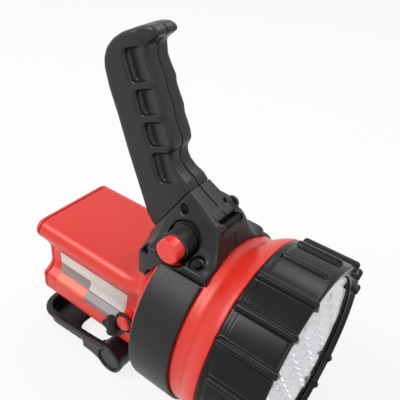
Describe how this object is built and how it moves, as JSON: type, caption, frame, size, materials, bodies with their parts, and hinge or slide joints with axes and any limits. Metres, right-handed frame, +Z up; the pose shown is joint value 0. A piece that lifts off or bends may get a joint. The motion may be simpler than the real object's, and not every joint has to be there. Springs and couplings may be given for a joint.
{
  "type": "handheld searchlight",
  "caption": "Rechargeable searchlight: round multi-LED head, swivelling pistol grip on a saddle with a push button, waisted battery body and a folding stand.",
  "frame": {"origin": "on the table under the middle of the lamp's bounding box", "axes": "+X is the way the beam points, +Y is the side away from the switch, +Z is up"},
  "size_m": [0.2332, 0.156, 0.2782],
  "materials": {
    "red_shell": "moulded, satin to gloss",
    "black_grip_plastic": "moulded, fine satin",
    "black_band_plastic": "moulded, coarse grain",
    "black_ring_plastic": "moulded, gloss",
    "black_stand_plastic": "moulded, fine satin",
    "switch_plastic": "moulded",
    "button_red": "moulded, gloss",
    "rubber_seal": "soft, matt",
    "lens_clear": "clear polycarbonate",
    "reflector_chrome": "vacuum metallised, mirror bright",
    "circuit_board": "green solder mask",
    "battery_case": "moulded",
    "bright_steel": "zinc plated",
    "dark_steel": "black oxide"
  },
  "bodies": {
    "lamp": {"main_housing": "red_shell", "rear_cover": "red_shell", "rear_seal": "rubber_seal", "cover_screw_1": "dark_steel", "cover_screw_2": "dark_steel", "cover_screw_3": "dark_steel", "cover_screw_4": "dark_steel", "battery": "battery_case", "charge_socket": "switch_plastic", "driver_board": "circuit_board", "led_board": "circuit_board", "reflector": "reflector_chrome", "neck_band": "black_band_plastic", "base_left": "black_grip_plastic", "base_right": "black_grip_plastic", "base_screw_1": "dark_steel", "base_screw_2": "dark_steel", "base_screw_3": "dark_steel", "side_cap": "black_grip_plastic", "strap_bar": "dark_steel", "switch_body": "switch_plastic", "switch_nut": "switch_plastic", "switch_spring": "bright_steel", "stand_bracket": "red_shell"},
    "switch_cap": {"switch_button": "button_red"},
    "lens_unit": {"lens": "lens_clear", "lens_gasket": "rubber_seal"},
    "ring": {"front_ring": "black_ring_plastic"},
    "grip": {"grip_left": "black_grip_plastic", "grip_right": "black_grip_plastic", "grip_screw_1": "dark_steel", "grip_screw_2": "dark_steel", "grip_screw_3": "dark_steel", "swivel_bolt": "bright_steel", "swivel_washer": "bright_steel", "swivel_spring": "bright_steel", "swivel_nut": "bright_steel"},
    "folding_stand": {"stand": "black_stand_plastic", "stand_pin": "bright_steel", "stand_cap_near": "black_stand_plastic", "stand_cap_far": "black_stand_plastic"},
    "socket_cap": {"port_cap": "rubber_seal"}
  },
  "joints": [
    {"name": "switch_press", "type": "slide", "parent": "lamp", "child": "switch_cap", "axis": [0, 1, 0], "range_m": [0, 0.0025], "stiffness_N_per_m": 900, "springref_m": -0.001, "deforming": ["switch_spring"]},
    {"name": "lens_lift", "type": "slide", "parent": "lamp", "child": "lens_unit", "axis": [1, 0, 0], "range_m": [0, 0.00605]},
    {"name": "ring_turn", "type": "hinge", "parent": "lens_unit", "child": "ring", "pos_m": [0.09395, 0, 0.08015], "axis": [1, 0, 0], "range_deg": [0, 720]},
    {"name": "grip_swivel", "type": "hinge", "parent": "lamp", "child": "grip", "pos_m": [0.00075, 0, 0.15935], "axis": [-0.847, 0, 0.5315], "range_deg": [0, 180]},
    {"name": "stand_fold", "type": "hinge", "parent": "lamp", "child": "folding_stand", "pos_m": [-0.02805, 0, 0.01315], "axis": [0, -1, 0], "range_deg": [0, 110]},
    {"name": "cap_pull", "type": "slide", "parent": "lamp", "child": "socket_cap", "axis": [0, -1, 0], "range_m": [0, 0.004]}
  ],
  "couplings": [
    {"joint": "lens_lift", "follows": "ring_turn", "m_per_rad": 0.00047746}
  ]
}
